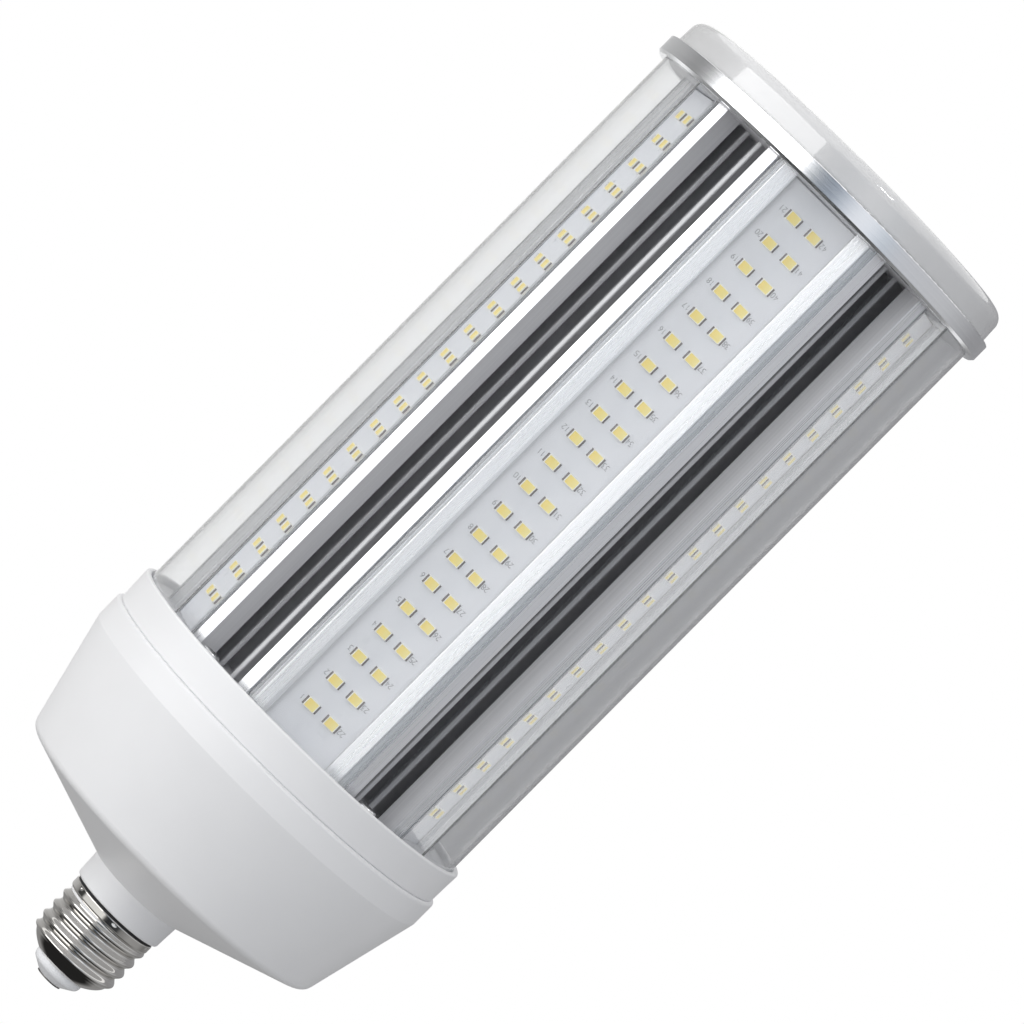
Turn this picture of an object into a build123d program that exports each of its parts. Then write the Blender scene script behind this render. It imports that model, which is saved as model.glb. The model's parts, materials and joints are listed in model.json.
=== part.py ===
"""LED corn lamp on an E27 screw cap, in millimetres.

The origin is on the lamp's axis, at the outer face of the centre contact.
+Z runs from the screw cap to the white top cap, and panel 1 faces -Y.
Panel pieces are drawn in panel coordinates: u runs across the panel, d is the
distance out from the lamp's axis, and z runs along the lamp.
"""
import os
from math import hypot, sqrt

from build123d import *

# Fits shared by all pieces
fit_clearance = 0.1
slide_clearance = 0.15
edge_round = 0.3

# Screw cap
thread_crest_radius = 13.15
thread_depth = 1.1
thread_pitch = 3.629
thread_root_land = 0.65
thread_start_turn = 222.0
thread_end_gap = 0.3
thread_sink = 0.3
skirt_radius = 13.0
skirt_length = 4.4
skirt_run = 0.7
shell_wall = 0.5
shell_length = 20.6
shell_mouth_radius = 7.6
shell_lip = 0.5
shell_taper = 4.2
shell_taper_round = 2.0
crimp_count = 6
crimp_ball_radius = 0.8
crimp_depth = 0.3
crimp_drop = 0.9
crimp_turn = 7.5
contact_radius = 3.8
contact_thickness = 0.4
contact_rivet_radius = 1.2
insulator_cone_height = 3.46
insulator_side_height = 1.2
insulator_round = 1.8
insulator_flange_radius = 8.6
insulator_flange_height = 2.0
insulator_tip_overlap = 0.1

# Panels, five round the lamp
panel_count = 5
body_radius = 53.3
panel_length = 185.3
cover_half_width = 16.5
cover_wall = 0.9
cover_corner_round = 0.35
cover_foot_width = 1.8
cover_foot_depth = 2.3
board_seat = 39.4
board_width = 21.6
board_thickness = 1.6
board_tail = 6.0
board_top_gap = 0.4
led_rows = 21
led_first_row = 10.0
led_last_row = 8.0
led_column_spacing = 6.75
led_length = 3.5
led_width = 2.8
led_height = 0.7
led_window_margin = 0.3
led_window_depth = 0.06
led_terminal_reach = 0.4
led_terminal_width = 2.0
led_terminal_thickness = 0.15

# Heat sink extrusion
plate_thickness = 2.2
plate_edge_depth = 5.1
plate_edge_draft = 0.8
plate_edge_bead = 1.8
lip_overlap = 0.66
lip_thickness = 1.35
lip_rise = 1.0
outer_lip_width = 3.4
outer_lip_drop = 2.0
stem_thickness = 3.4
fin_thickness = 1.5
fin_round_share = 0.33
wide_fin_half_width = 16.4
wide_fin_distance = 32.2
narrow_fin_half_width = 11.5
narrow_fin_distance = 26.4
radial_fin_thickness = 1.6
radial_fin_tip_radius = 37.3
core_outer_radius = 16.6
core_bore_radius = 14.0
port_distance = 22.0
port_boss_radius = 3.6

# Base housing and collar
neck_gap = 0.5
neck_length = 7.2
neck_low_radius = 13.75
neck_top_radius = 14.1
neck_edge_round = 0.6
spigot_length = 4.0
cone_rise = 12.4
bowl_low_radius = 48.5
bowl_flare_height = 31.1
bowl_band_height = 7.2
bowl_inner_round = 0.4
bowl_step = 1.05
bowl_edge_round = 0.8
housing_wall = 2.4
collar_height = 9.6
collar_wall = 1.7
collar_taper = 0.3
collar_chamfer = 0.35
collar_clearance = 0.3
tongue_length = 4.0
tongue_wall = 2.0
rim_round = 0.6
flange_width = 9.0
flange_thickness = 2.5
flange_boss_radius = 3.4
flange_boss_length = 6.0

# Deck, top plate, ring and cap
deck_thickness = 2.0
rim_above_deck = 1.9
top_plate_thickness = 2.5
ring_overhang = 2.5
ring_height = 5.2
ring_wall = 3.6
ring_bevel = 0.7
ring_ledge = 3.2
cap_setback = 1.7
cap_draft = 0.4
cap_side_height = 8.0
cap_dome_rise = 1.0
cap_wall = 2.0
cap_corner_round = 3.3
cap_spigot_length = 2.2

# Screws
screw_radius = 1.5
screw_hole_clearance = 0.1
screw_head_radius = 2.8
screw_head_height = 1.8
screw_length = 7.5
screw_slot_width = 0.8
screw_slot_depth = 0.7
deck_screw_inset = 7.6
deck_screw_turn = -4.0

# Driver
driver_rise = 17.7
driver_board_radius = 40.0
driver_board_thickness = 1.6
driver_boss_count = 3
driver_boss_turn = 60.0
driver_boss_circle = 33.5
driver_boss_radius = 3.2
transformer_length = 28.0
transformer_width = 12.0
transformer_height = 18.0
transformer_yoke = 5.0
winding_gap = 0.3
winding_bulge = 5.0
winding_round = 2.5
bulk_capacitor_radius = 8.0
bulk_capacitor_height = 20.0
bulk_capacitor_round = 0.8
bulk_capacitor_gap = 3.2
film_capacitor_length = 18.0
film_capacitor_width = 8.0
film_capacitor_height = 13.0
choke_ring_radius = 6.5
choke_section_radius = 2.8
rectifier_length = 15.0
rectifier_width = 4.0
rectifier_height = 11.0
lead_radius = 0.7
lead_bend_radius = 8.0
live_lead_shift = 7.0
live_bend_start = 0.33
live_bend_end = 0.67
neutral_lead_shift = -9.0
neutral_lead_start = 12.0
neutral_bend_start = 0.12
neutral_bend_end = 0.33
board_lead_spacing = 5.0

# Places on the driver board, as shares of its radius
bulk_capacitor_row = -0.4
film_capacitor_across = -0.58
film_capacitor_row = 0.1
choke_across = 0.6
choke_row = 0.05
rectifier_row = 0.68

# Levels along the lamp, stacked from the contact up
z_shell_low = contact_thickness + insulator_cone_height
z_shell_top = z_shell_low + shell_length
z_neck_low = z_shell_top + neck_gap
z_neck_top = z_neck_low + neck_length
z_bowl_low = z_neck_top + cone_rise
z_band_low = z_bowl_low + bowl_flare_height
z_seam = z_band_low + bowl_band_height
z_rim = z_seam + collar_height
z_deck = z_rim - rim_above_deck
z_deck_low = z_deck - deck_thickness
z_panel_top = z_deck + panel_length
z_top_plate = z_panel_top + top_plate_thickness
z_ring_top = z_panel_top + ring_height
z_cap_side = z_ring_top + cap_side_height
z_driver_low = z_bowl_low + driver_rise
z_driver = z_driver_low + driver_board_thickness

# Radii and distances that follow from the sizes above
thread_root_radius = thread_crest_radius - thread_depth
shell_bore_radius = thread_root_radius - shell_wall
skirt_bore_radius = skirt_radius - shell_wall
collar_inner_radius = body_radius + collar_clearance
collar_top_radius = collar_inner_radius + collar_wall
collar_low_radius = collar_top_radius - collar_taper
bowl_top_radius = collar_low_radius + bowl_step
tongue_radius = bowl_top_radius - housing_wall - fit_clearance
deck_screw_radius = collar_inner_radius - deck_screw_inset
ring_radius = body_radius + ring_overhang
cap_low_radius = ring_radius - cap_setback
top_plate_radius = ring_radius - ring_wall - fit_clearance
ledge_radius = ring_radius - ring_wall - ring_ledge
screw_hole_radius = screw_radius + screw_hole_clearance
board_half = board_width / 2
board_face = board_seat + board_thickness
slot_half = board_half + slide_clearance
slot_top = board_face + slide_clearance
lip_half_gap = board_half - lip_overlap
groove_inner = cover_half_width - cover_foot_width - slide_clearance
groove_outer = cover_half_width + slide_clearance
groove_top = slot_top + lip_thickness + lip_rise
cover_foot = groove_top - cover_foot_depth
groove_floor = cover_foot - slide_clearance
plate_half = groove_outer + outer_lip_width
plate_shoulder = groove_top - outer_lip_drop
plate_back = board_seat - plate_thickness
led_row_pitch = (panel_length - led_first_row - led_last_row) / (led_rows - 1)
panel_step = 360 / panel_count


def turned(points, rounds=()):
    """A solid of revolution, with (point, radius) pairs for its rounded corners."""
    face = make_face(Polyline(*points, close=True))
    for point, radius in rounds:
        corner = face.vertices().sort_by_distance((*point, 0))[0]
        face = fillet(corner, radius)
    return revolve(Plane.XZ * face, Axis.Z)


def drum(radius, low, high):
    """A plain cylinder on the lamp's axis between two heights."""
    return turned([(0, low), (radius, low), (radius, high), (0, high)])


def inset(path, wall):
    """Points of the line that runs a wall's thickness to the left of an open path."""
    normals = []
    for (r0, z0), (r1, z1) in zip(path, path[1:]):
        run = hypot(r1 - r0, z1 - z0)
        normals.append(((z0 - z1) / run, (r1 - r0) / run))
    points = []
    for index, (r, z) in enumerate(path):
        before = normals[max(index - 1, 0)]
        after = normals[min(index, len(normals) - 1)]
        share = wall / (1 + before[0] * after[0] + before[1] * after[1])
        points.append((r + share * (before[0] + after[0]), z + share * (before[1] + after[1])))
    return points


def panel_turn(index):
    """The turn that brings a piece drawn with d along +Y to its panel."""
    return Rot(0, 0, 180 + index * panel_step)


def gap_turn(index):
    """The turn to the middle of the gap after a panel."""
    return Rot(0, 0, 180 + (index + 0.5) * panel_step)


def upright_box(u_low, u_high, d_low, d_high, low, high):
    """A box between limits across the panel, out from the axis and along the lamp."""
    centre = ((u_low + u_high) / 2, (d_low + d_high) / 2, (low + high) / 2)
    return Pos(*centre) * Box(u_high - u_low, d_high - d_low, high - low)


def area(u_low, u_high, d_low, d_high):
    """A flat rectangle between limits across the panel and out from the axis."""
    centre = ((u_low + u_high) / 2, (d_low + d_high) / 2)
    return Pos(*centre) * Rectangle(u_high - u_low, d_high - d_low)


def hole(radius, u, d, low, high):
    """A cylinder along the lamp, for a hole or a post."""
    return Pos(u, d, (low + high) / 2) * Cylinder(radius, high - low)


def make_screw():
    """A pan head screw pointing down, its head resting on the plane z = 0."""
    head = Pos(0, 0, screw_head_height / 2) * Cylinder(screw_head_radius, screw_head_height)
    head = fillet(head.edges().group_by(Axis.Z)[-1], screw_head_height / 2)
    slot = Box(2 * screw_radius, screw_slot_width, 2 * screw_slot_depth)
    slots = Pos(0, 0, screw_head_height) * (slot + Rot(0, 0, 90) * slot)
    shank = Pos(0, 0, -screw_length / 2) * Cylinder(screw_radius, screw_length)
    return head + shank - slots


def make_wire(points):
    """A round lead along straight runs joined by tangent arcs."""
    path = FilletPolyline(*points, radius=lead_bend_radius)
    return sweep(Plane(path @ 0, z_dir=path % 0) * Circle(lead_radius), path=path)


def shell_outline():
    """Outer line of the screw shell, from its mouth up to the top of its skirt."""
    z_skirt = z_neck_low - skirt_length
    return [
        (shell_mouth_radius, z_shell_low),
        (shell_mouth_radius + shell_lip, z_shell_low),
        (thread_root_radius, z_shell_low + shell_taper),
        (thread_root_radius, z_skirt - skirt_run),
        (skirt_radius, z_skirt),
        (skirt_radius, z_shell_top),
    ]


def make_screw_shell():
    """The threaded metal shell: a tapered end, a helical ridge and a plain skirt."""
    outside = shell_outline()
    inside = inset(outside, shell_wall)
    rounds = [(outside[2], shell_taper_round), (inside[2], shell_taper_round - shell_wall)]
    shell = turned(outside + inside[::-1], rounds)
    shell += make_thread_ridge(outside[2][1] + thread_end_gap, outside[3][1] - thread_end_gap)
    for index in range(crimp_count):
        turn = Rot(0, 0, crimp_turn - 90 + index * 360 / crimp_count)
        place = Pos(skirt_radius + crimp_ball_radius - crimp_depth, 0, z_shell_top - crimp_drop)
        shell -= turn * place * Sphere(crimp_ball_radius)
    return shell


def make_thread_ridge(low, high):
    """The round crested helical ridge, sunk in the wall and run out at both ends."""
    half_width = (thread_pitch - thread_root_land) / 2
    path = Helix(thread_pitch, high - low, thread_root_radius)
    crest = ThreePointArc((-thread_sink, half_width), (thread_depth, 0), (-thread_sink, -half_width))
    foot = Line((-thread_sink, -half_width), (-thread_sink, half_width))
    start = Plane(path @ 0, x_dir=(1, 0, 0), z_dir=path % 0)
    ridge = sweep(start * make_face(crest + foot), path=path, is_frenet=True)
    ridge = Pos(0, 0, low) * Rot(0, 0, thread_start_turn) * ridge
    foot_radius = thread_root_radius - thread_sink / 2
    free_radius = thread_crest_radius + thread_sink / 2
    run_out = turned([
        (0, low),
        (foot_radius, low),
        (free_radius, low + half_width),
        (free_radius, high - half_width),
        (foot_radius, high),
        (0, high),
    ])
    return ridge & run_out


def insulator_seat():
    """Height where the insulator's flange meets the inside of the shell's taper."""
    (low_radius, low), (high_radius, high) = inset(shell_outline(), shell_wall)[1:3]
    share = (insulator_flange_radius - low_radius) / (high_radius - low_radius)
    return low + share * (high - low) + fit_clearance


def make_cap_insulator():
    """The white insulator that closes the shell's mouth and carries the contact."""
    tip = contact_radius + insulator_tip_overlap
    throat = shell_mouth_radius - fit_clearance
    belly = (throat, z_shell_low - insulator_side_height)
    seat = insulator_seat()
    bore = contact_rivet_radius + fit_clearance
    return turned([
        (bore, contact_thickness),
        (tip, contact_thickness),
        belly,
        (throat, seat),
        (insulator_flange_radius, seat),
        (insulator_flange_radius, seat + insulator_flange_height),
        (bore, seat + insulator_flange_height),
    ], [(belly, insulator_round)])


def contact_top():
    """Height of the rivet's inner end, just through the insulator."""
    return insulator_seat() + insulator_flange_height + fit_clearance


def make_centre_contact():
    """The contact button with its rivet."""
    return turned([
        (0, 0),
        (contact_radius, 0),
        (contact_radius, contact_thickness),
        (contact_rivet_radius, contact_thickness),
        (contact_rivet_radius, contact_top()),
        (0, contact_top()),
    ])


def housing_outline():
    """Outer line of the base housing, from the neck up to the seam."""
    return [
        (neck_low_radius, z_neck_low),
        (neck_top_radius, z_neck_top),
        (bowl_low_radius, z_bowl_low),
        (bowl_top_radius, z_band_low),
        (bowl_top_radius, z_seam),
    ]


def driver_boss_places():
    """Turns of the driver board's screws round the axis."""
    return [Rot(0, 0, driver_boss_turn + i * 360 / driver_boss_count) for i in range(driver_boss_count)]


def make_base_housing():
    """The white moulded neck, cone and bowl, with a spigot and driver bosses inside."""
    outside = housing_outline()
    inside = inset(outside, housing_wall)
    spigot = skirt_bore_radius - fit_clearance
    z_spigot = z_neck_low - spigot_length
    lower = [(inside[0][0], z_spigot), (spigot, z_spigot), (spigot, z_neck_low)]
    rounds = [
        (outside[2], bowl_inner_round + housing_wall),
        (inside[2], bowl_inner_round),
        (outside[0], neck_edge_round),
        (outside[-1], bowl_edge_round),
    ]
    shell = turned(lower + outside + inside[::-1], rounds)
    solid = turned([(0, z_neck_low)] + outside + [(0, z_seam)], rounds[:1])
    for turn in driver_boss_places():
        boss = turn * hole(driver_boss_radius, 0, driver_boss_circle, z_neck_low, z_driver_low)
        shell += boss & solid
        shell -= turn * hole(screw_hole_radius, 0, driver_boss_circle,
                             z_driver - screw_length - fit_clearance, z_driver_low)
    return shell


def deck_screw_places():
    """Turns of the deck screws round the axis, one in each gap."""
    return [gap_turn(i) * Rot(0, 0, deck_screw_turn) for i in range(panel_count)]


def make_housing_collar():
    """The white collar over the bowl, with a tongue below and a flange for the deck."""
    tongue_inner = tongue_radius - tongue_wall
    flange_inner = collar_inner_radius - flange_width
    z_flange_low = z_deck_low - flange_thickness
    collar = turned([
        (collar_low_radius - collar_chamfer, z_seam),
        (collar_low_radius, z_seam + collar_chamfer),
        (collar_top_radius, z_rim),
        (collar_inner_radius, z_rim),
        (collar_inner_radius, z_deck_low),
        (flange_inner, z_deck_low),
        (flange_inner, z_flange_low),
        (tongue_inner, z_flange_low),
        (tongue_inner, z_seam - tongue_length),
        (tongue_radius, z_seam - tongue_length),
        (tongue_radius, z_seam),
    ], [((collar_top_radius, z_rim), rim_round), ((collar_inner_radius, z_rim), rim_round)])
    z_boss = z_flange_low - flange_boss_length
    for turn in deck_screw_places():
        collar += turn * hole(flange_boss_radius, 0, deck_screw_radius, z_boss, z_deck_low)
        collar -= turn * hole(screw_hole_radius, 0, deck_screw_radius, z_boss, z_deck_low)
    return collar


def make_mounting_deck():
    """The round plate under the heat sink, slotted for the boards' tails."""
    deck = drum(collar_inner_radius - fit_clearance, z_deck_low, z_deck)
    deck -= drum(core_bore_radius, z_deck_low, z_deck)
    back = board_seat - slide_clearance
    for index in range(panel_count):
        slot = upright_box(-slot_half, slot_half, back, slot_top, z_deck_low, z_deck)
        port = hole(screw_hole_radius, 0, port_distance, z_deck_low, z_deck)
        deck -= panel_turn(index) * (slot + port)
    for turn in deck_screw_places():
        deck -= turn * hole(screw_hole_radius, 0, deck_screw_radius, z_deck_low, z_deck)
    return deck


def plate_section():
    """Half outline of one face plate with its board slot and cover groove, as a face."""
    edge_low = plate_shoulder - plate_edge_depth
    edge_half = plate_half - plate_edge_draft
    half = [
        (0, plate_back),
        (edge_half - plate_edge_bead, plate_back),
        (edge_half - plate_edge_bead, edge_low),
        (edge_half, edge_low),
        (plate_half, plate_shoulder),
        (groove_outer, groove_top),
        (groove_outer, groove_floor),
        (groove_inner, groove_floor),
        (groove_inner, groove_top),
        (lip_half_gap, slot_top + lip_thickness),
        (lip_half_gap, slot_top),
        (slot_half, slot_top),
        (slot_half, board_seat),
        (0, board_seat),
    ]
    mirrored = [(-u, d) for u, d in half[-2:0:-1]]
    face = make_face(Polyline(*half, *mirrored, close=True))
    rounded = [half[i] for i in (2, 3, 4, 5, 8, 9)]
    rounded += [(-u, d) for u, d in rounded]
    corners = [face.vertices().sort_by_distance((*point, 0))[0] for point in rounded]
    return fillet(corners, edge_round)


def cross_fin(half_width, distance):
    """A fin parallel to the face plate, with rounded edges."""
    fin = area(-half_width, half_width, distance - fin_thickness / 2, distance + fin_thickness / 2)
    return fillet(fin.vertices(), fin_thickness * fin_round_share)


def make_heat_sink():
    """The extrusion: a tube core, a stem and face plate per panel, and cooling fins."""
    section = Circle(core_outer_radius)
    radial_fin = area(-radial_fin_thickness / 2, radial_fin_thickness / 2, 0, radial_fin_tip_radius)
    radial_fin = fillet(radial_fin.vertices().group_by(Axis.Y)[-1], radial_fin_thickness * fin_round_share)
    petal = plate_section() + area(-stem_thickness / 2, stem_thickness / 2, 0, plate_back)
    petal += cross_fin(wide_fin_half_width, wide_fin_distance)
    petal += cross_fin(narrow_fin_half_width, narrow_fin_distance)
    petal += Pos(0, port_distance) * Circle(port_boss_radius)
    port = Pos(0, port_distance) * Circle(screw_hole_radius)
    for index in range(panel_count):
        section += panel_turn(index) * petal
        section += gap_turn(index) * radial_fin
    for index in range(panel_count):
        section -= panel_turn(index) * port
    section -= Circle(core_bore_radius)
    return Pos(0, 0, z_deck) * extrude(section, panel_length)


def make_led_board():
    """One panel's board, with a tail that passes through the deck."""
    return upright_box(-board_half, board_half, board_seat, board_face,
                       z_deck - board_tail, z_panel_top - board_top_gap)


def make_led():
    """One light emitting package on its terminals, facing +Y from the plane y = 0."""
    body = upright_box(-led_length / 2, led_length / 2, 0, led_height, -led_width / 2, led_width / 2)
    window = upright_box(led_window_margin - led_length / 2, led_length / 2 - led_window_margin,
                         led_height - led_window_depth, led_height,
                         led_window_margin - led_width / 2, led_width / 2 - led_window_margin)
    reach = led_length / 2 + led_terminal_reach
    terminals = upright_box(-reach, reach, 0, led_terminal_thickness,
                            -led_terminal_width / 2, led_terminal_width / 2)
    return body + terminals - window


def make_led_packages():
    """All packages of one board, two columns of them, as separate solids."""
    led = make_led()
    packages = []
    for row in range(led_rows):
        z = z_deck + led_first_row + row * led_row_pitch
        for side in (-1, 1):
            packages.append(Pos(side * led_column_spacing / 2, board_face, z) * led)
    return packages


def cover_area(half_width, radius):
    """The area between two side lines and the round envelope, out from the cover's foot."""
    return area(-half_width, half_width, cover_foot, radius) & Circle(radius)


def make_light_cover():
    """One clear cover: an arch on the round envelope and two side walls on thick feet in the grooves."""
    outer = cover_area(cover_half_width, body_radius)
    outer = fillet(outer.vertices().group_by(Axis.Y)[-1], cover_corner_round)
    section = outer - cover_area(cover_half_width - cover_wall, body_radius - cover_wall)
    foot_inner = cover_half_width - cover_foot_width
    section += area(foot_inner, cover_half_width, cover_foot, groove_top)
    section += area(-cover_half_width, -foot_inner, cover_foot, groove_top)
    return Pos(0, 0, z_deck + slide_clearance) * extrude(section, panel_length - 2 * slide_clearance)


def make_top_plate():
    """The round plate on the heat sink's upper end."""
    plate = drum(top_plate_radius, z_panel_top, z_top_plate)
    for index in range(panel_count):
        plate -= panel_turn(index) * hole(screw_hole_radius, 0, port_distance, z_panel_top, z_top_plate)
    return plate


def make_top_ring():
    """The polished ring round the top plate, with a ledge that rests on the plate."""
    inner = ring_radius - ring_wall
    return turned([
        (inner, z_panel_top),
        (ring_radius - ring_bevel, z_panel_top),
        (ring_radius, z_panel_top + ring_bevel),
        (ring_radius, z_ring_top),
        (ledge_radius, z_ring_top),
        (ledge_radius, z_top_plate),
        (inner, z_top_plate),
    ], [((ring_radius, z_ring_top), edge_round)])


def dome_face(radius_low, radius_top, low, side_top, rise):
    """Half section of a shallow dome: a drafted side wall under a low round crown."""
    sphere = (radius_top ** 2 + rise ** 2) / (2 * rise)
    middle = (radius_top / 2, side_top + rise - sphere + sqrt(sphere ** 2 - radius_top ** 2 / 4))
    sides = Polyline((0, side_top + rise), (0, low), (radius_low, low), (radius_top, side_top))
    crown = ThreePointArc((radius_top, side_top), middle, (0, side_top + rise))
    return make_face(sides + crown), (radius_top, side_top)


def rounded_dome(face_and_corner, radius):
    """The dome section turned round the axis, with its shoulder rounded."""
    face, corner = face_and_corner
    shoulder = face.vertices().sort_by_distance((*corner, 0))[0]
    return revolve(Plane.XZ * fillet(shoulder, radius), Axis.Z)


def make_top_cap():
    """The white domed cap, hollow, with a spigot inside the ring's ledge."""
    top_radius = cap_low_radius - cap_draft
    outer = dome_face(cap_low_radius, top_radius, z_ring_top, z_cap_side, cap_dome_rise)
    inner = dome_face(cap_low_radius - cap_wall, top_radius - cap_wall, z_ring_top,
                      z_cap_side - cap_wall, cap_dome_rise)
    cap = rounded_dome(outer, cap_corner_round) - rounded_dome(inner, cap_corner_round - cap_wall)
    spigot_outer = ledge_radius - fit_clearance
    spigot_inner = spigot_outer - cap_wall
    z_spigot = z_ring_top - cap_spigot_length
    cap += turned([(spigot_inner, z_spigot), (spigot_outer, z_spigot),
                   (spigot_outer, z_cap_side - cap_wall / 2), (spigot_inner, z_cap_side - cap_wall / 2)])
    return cap


def make_driver_board():
    """The round driver board on the housing's bosses."""
    board = drum(driver_board_radius, z_driver_low, z_driver)
    for turn in driver_boss_places():
        board -= turn * hole(screw_hole_radius, 0, driver_boss_circle, z_driver_low, z_driver)
    return board


def make_transformer_core():
    """The ferrite core: a box with two windows either side of its middle leg."""
    half = transformer_length / 2
    leg = transformer_yoke / 2
    window = half - transformer_yoke - leg
    core = upright_box(-half, half, 0, transformer_width, 0, transformer_height)
    for side in (-1, 1):
        centre = side * (leg + window / 2)
        core -= upright_box(centre - window / 2, centre + window / 2, 0, transformer_width,
                            transformer_yoke, transformer_height - transformer_yoke)
    return Pos(0, 0, z_driver) * core


def make_transformer_winding():
    """The wound bobbin round the core's middle leg."""
    leg = transformer_yoke / 2 + winding_gap
    out = transformer_length / 2 - transformer_yoke - winding_gap
    low = transformer_yoke + winding_gap
    high = transformer_height - transformer_yoke - winding_gap
    bobbin = upright_box(-out, out, -winding_bulge, transformer_width + winding_bulge, low, high)
    bobbin = fillet(bobbin.edges().filter_by(Axis.Z), winding_round)
    bobbin -= upright_box(-leg, leg, -winding_gap, transformer_width + winding_gap, low, high)
    return Pos(0, 0, z_driver) * bobbin


def make_bulk_capacitor():
    """One round electrolytic capacitor standing on z = 0."""
    can = Pos(0, 0, bulk_capacitor_height / 2) * Cylinder(bulk_capacitor_radius, bulk_capacitor_height)
    return fillet(can.edges().group_by(Axis.Z)[-1], bulk_capacitor_round)


def make_line_choke():
    """A wound toroid lying on z = 0."""
    return Pos(0, 0, choke_section_radius) * Torus(choke_ring_radius, choke_section_radius)


def make_block(length, width, height):
    """A box component standing on z = 0, with rounded upright edges."""
    block = Pos(0, 0, height / 2) * Box(length, width, height)
    return fillet(block.edges().filter_by(Axis.Z), edge_round)


def make_live_lead():
    """The lead from the contact's rivet up to the driver board."""
    low = contact_top()
    rise = z_driver_low - low
    return make_wire([
        (0, 0, low),
        (0, 0, low + rise * live_bend_start),
        (live_lead_shift, 0, low + rise * live_bend_end),
        (live_lead_shift, 0, z_driver_low),
    ])


def make_neutral_lead():
    """The lead from the inside of the screw shell up to the driver board."""
    start = lead_radius + fit_clearance - shell_bore_radius
    rise = z_driver_low - neutral_lead_start
    return make_wire([
        (start, 0, neutral_lead_start),
        (start, 0, neutral_lead_start + rise * neutral_bend_start),
        (neutral_lead_shift, 0, neutral_lead_start + rise * neutral_bend_end),
        (neutral_lead_shift, 0, z_driver_low),
    ])


def make_board_leads(side):
    """Five straight leads of one pole, from the driver board to the back of each tail."""
    d = board_seat - lead_radius - fit_clearance
    lead = hole(lead_radius, side * board_lead_spacing / 2, d, z_driver, z_deck_low)
    return [panel_turn(index) * lead for index in range(panel_count)]


def screws_at(turns, distance, height, upside_down=False):
    """A group of screws on a circle, with heads on the plane at the given height."""
    flip = Rot(180, 0, 0) if upside_down else Rot(0, 0, 0)
    return [turn * Pos(0, distance, height) * flip * make_screw() for turn in turns]


def on_driver_board(across, row):
    """A place on the driver board's upper face, in shares of the board's radius."""
    return Pos(driver_board_radius * across, driver_board_radius * row, z_driver)


def driver_pieces():
    """The driver's components on their board, by node name."""
    bulk_across = bulk_capacitor_radius + bulk_capacitor_gap / 2
    film_capacitor = make_block(film_capacitor_width, film_capacitor_length, film_capacitor_height)
    rectifier = make_block(rectifier_length, rectifier_width, rectifier_height)
    return {
        "driver_board": make_driver_board(),
        "transformer_core": make_transformer_core(),
        "transformer_winding": make_transformer_winding(),
        "bulk_capacitors": [
            on_driver_board(0, bulk_capacitor_row) * Pos(side * bulk_across, 0) * make_bulk_capacitor()
            for side in (-1, 1)
        ],
        "film_capacitor": on_driver_board(film_capacitor_across, film_capacitor_row) * film_capacitor,
        "line_choke": on_driver_board(choke_across, choke_row) * make_line_choke(),
        "bridge_rectifier": on_driver_board(0, rectifier_row) * rectifier,
        "live_lead": make_live_lead(),
        "neutral_lead": make_neutral_lead(),
        "positive_leads": make_board_leads(1),
        "negative_leads": make_board_leads(-1),
        "driver_screws": screws_at(driver_boss_places(), driver_boss_circle, z_driver),
    }


def lamp_pieces():
    """Every piece of the lamp, by node name."""
    panel_turns = [panel_turn(index) for index in range(panel_count)]
    pieces = {
        "screw_shell": make_screw_shell(),
        "cap_insulator": make_cap_insulator(),
        "centre_contact": make_centre_contact(),
        "base_housing": make_base_housing(),
        "housing_collar": make_housing_collar(),
        "mounting_deck": make_mounting_deck(),
        "heat_sink": make_heat_sink(),
        "top_plate": make_top_plate(),
        "top_ring": make_top_ring(),
        "top_cap": make_top_cap(),
        "deck_screws": screws_at(deck_screw_places(), deck_screw_radius, z_deck),
        "heat_sink_screws": screws_at(panel_turns, port_distance, z_deck_low, True),
        "top_plate_screws": screws_at(panel_turns, port_distance, z_top_plate),
    }
    board = make_led_board()
    packages = make_led_packages()
    cover = make_light_cover()
    for index, turn in enumerate(panel_turns):
        pieces[f"led_board_{index + 1}"] = turn * board
        pieces[f"led_packages_{index + 1}"] = [turn * package for package in packages]
        pieces[f"light_cover_{index + 1}"] = turn * cover
    pieces.update(driver_pieces())
    return pieces


os.makedirs("parts", exist_ok=True)
for name, piece in lamp_pieces().items():
    shape = Compound(children=piece) if isinstance(piece, list) else piece
    export_step(shape, f"parts/{name}.step")
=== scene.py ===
"""Looks for an LED corn lamp: finishes, light packages, row numbers, screw shell, camera and studio."""
import json
import math

import bpy
import numpy as np
from mathutils import Matrix, Vector


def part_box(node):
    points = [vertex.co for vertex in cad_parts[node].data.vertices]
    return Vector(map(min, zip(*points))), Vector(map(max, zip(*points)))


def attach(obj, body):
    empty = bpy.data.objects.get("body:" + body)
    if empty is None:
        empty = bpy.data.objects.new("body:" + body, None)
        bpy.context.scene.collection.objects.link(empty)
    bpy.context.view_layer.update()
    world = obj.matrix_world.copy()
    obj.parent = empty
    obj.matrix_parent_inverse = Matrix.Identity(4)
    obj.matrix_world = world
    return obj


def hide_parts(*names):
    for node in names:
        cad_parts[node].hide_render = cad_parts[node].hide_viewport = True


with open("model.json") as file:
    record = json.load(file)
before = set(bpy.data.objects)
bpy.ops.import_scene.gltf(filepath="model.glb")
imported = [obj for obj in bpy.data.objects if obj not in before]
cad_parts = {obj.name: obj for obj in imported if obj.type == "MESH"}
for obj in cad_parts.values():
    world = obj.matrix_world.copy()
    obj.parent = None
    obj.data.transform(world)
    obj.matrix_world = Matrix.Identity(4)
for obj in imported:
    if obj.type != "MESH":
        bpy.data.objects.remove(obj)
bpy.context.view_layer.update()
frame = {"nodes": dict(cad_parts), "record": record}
nodes = frame["nodes"]

MM = 0.001
PANELS = 5
LED_ROWS = 21

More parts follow.
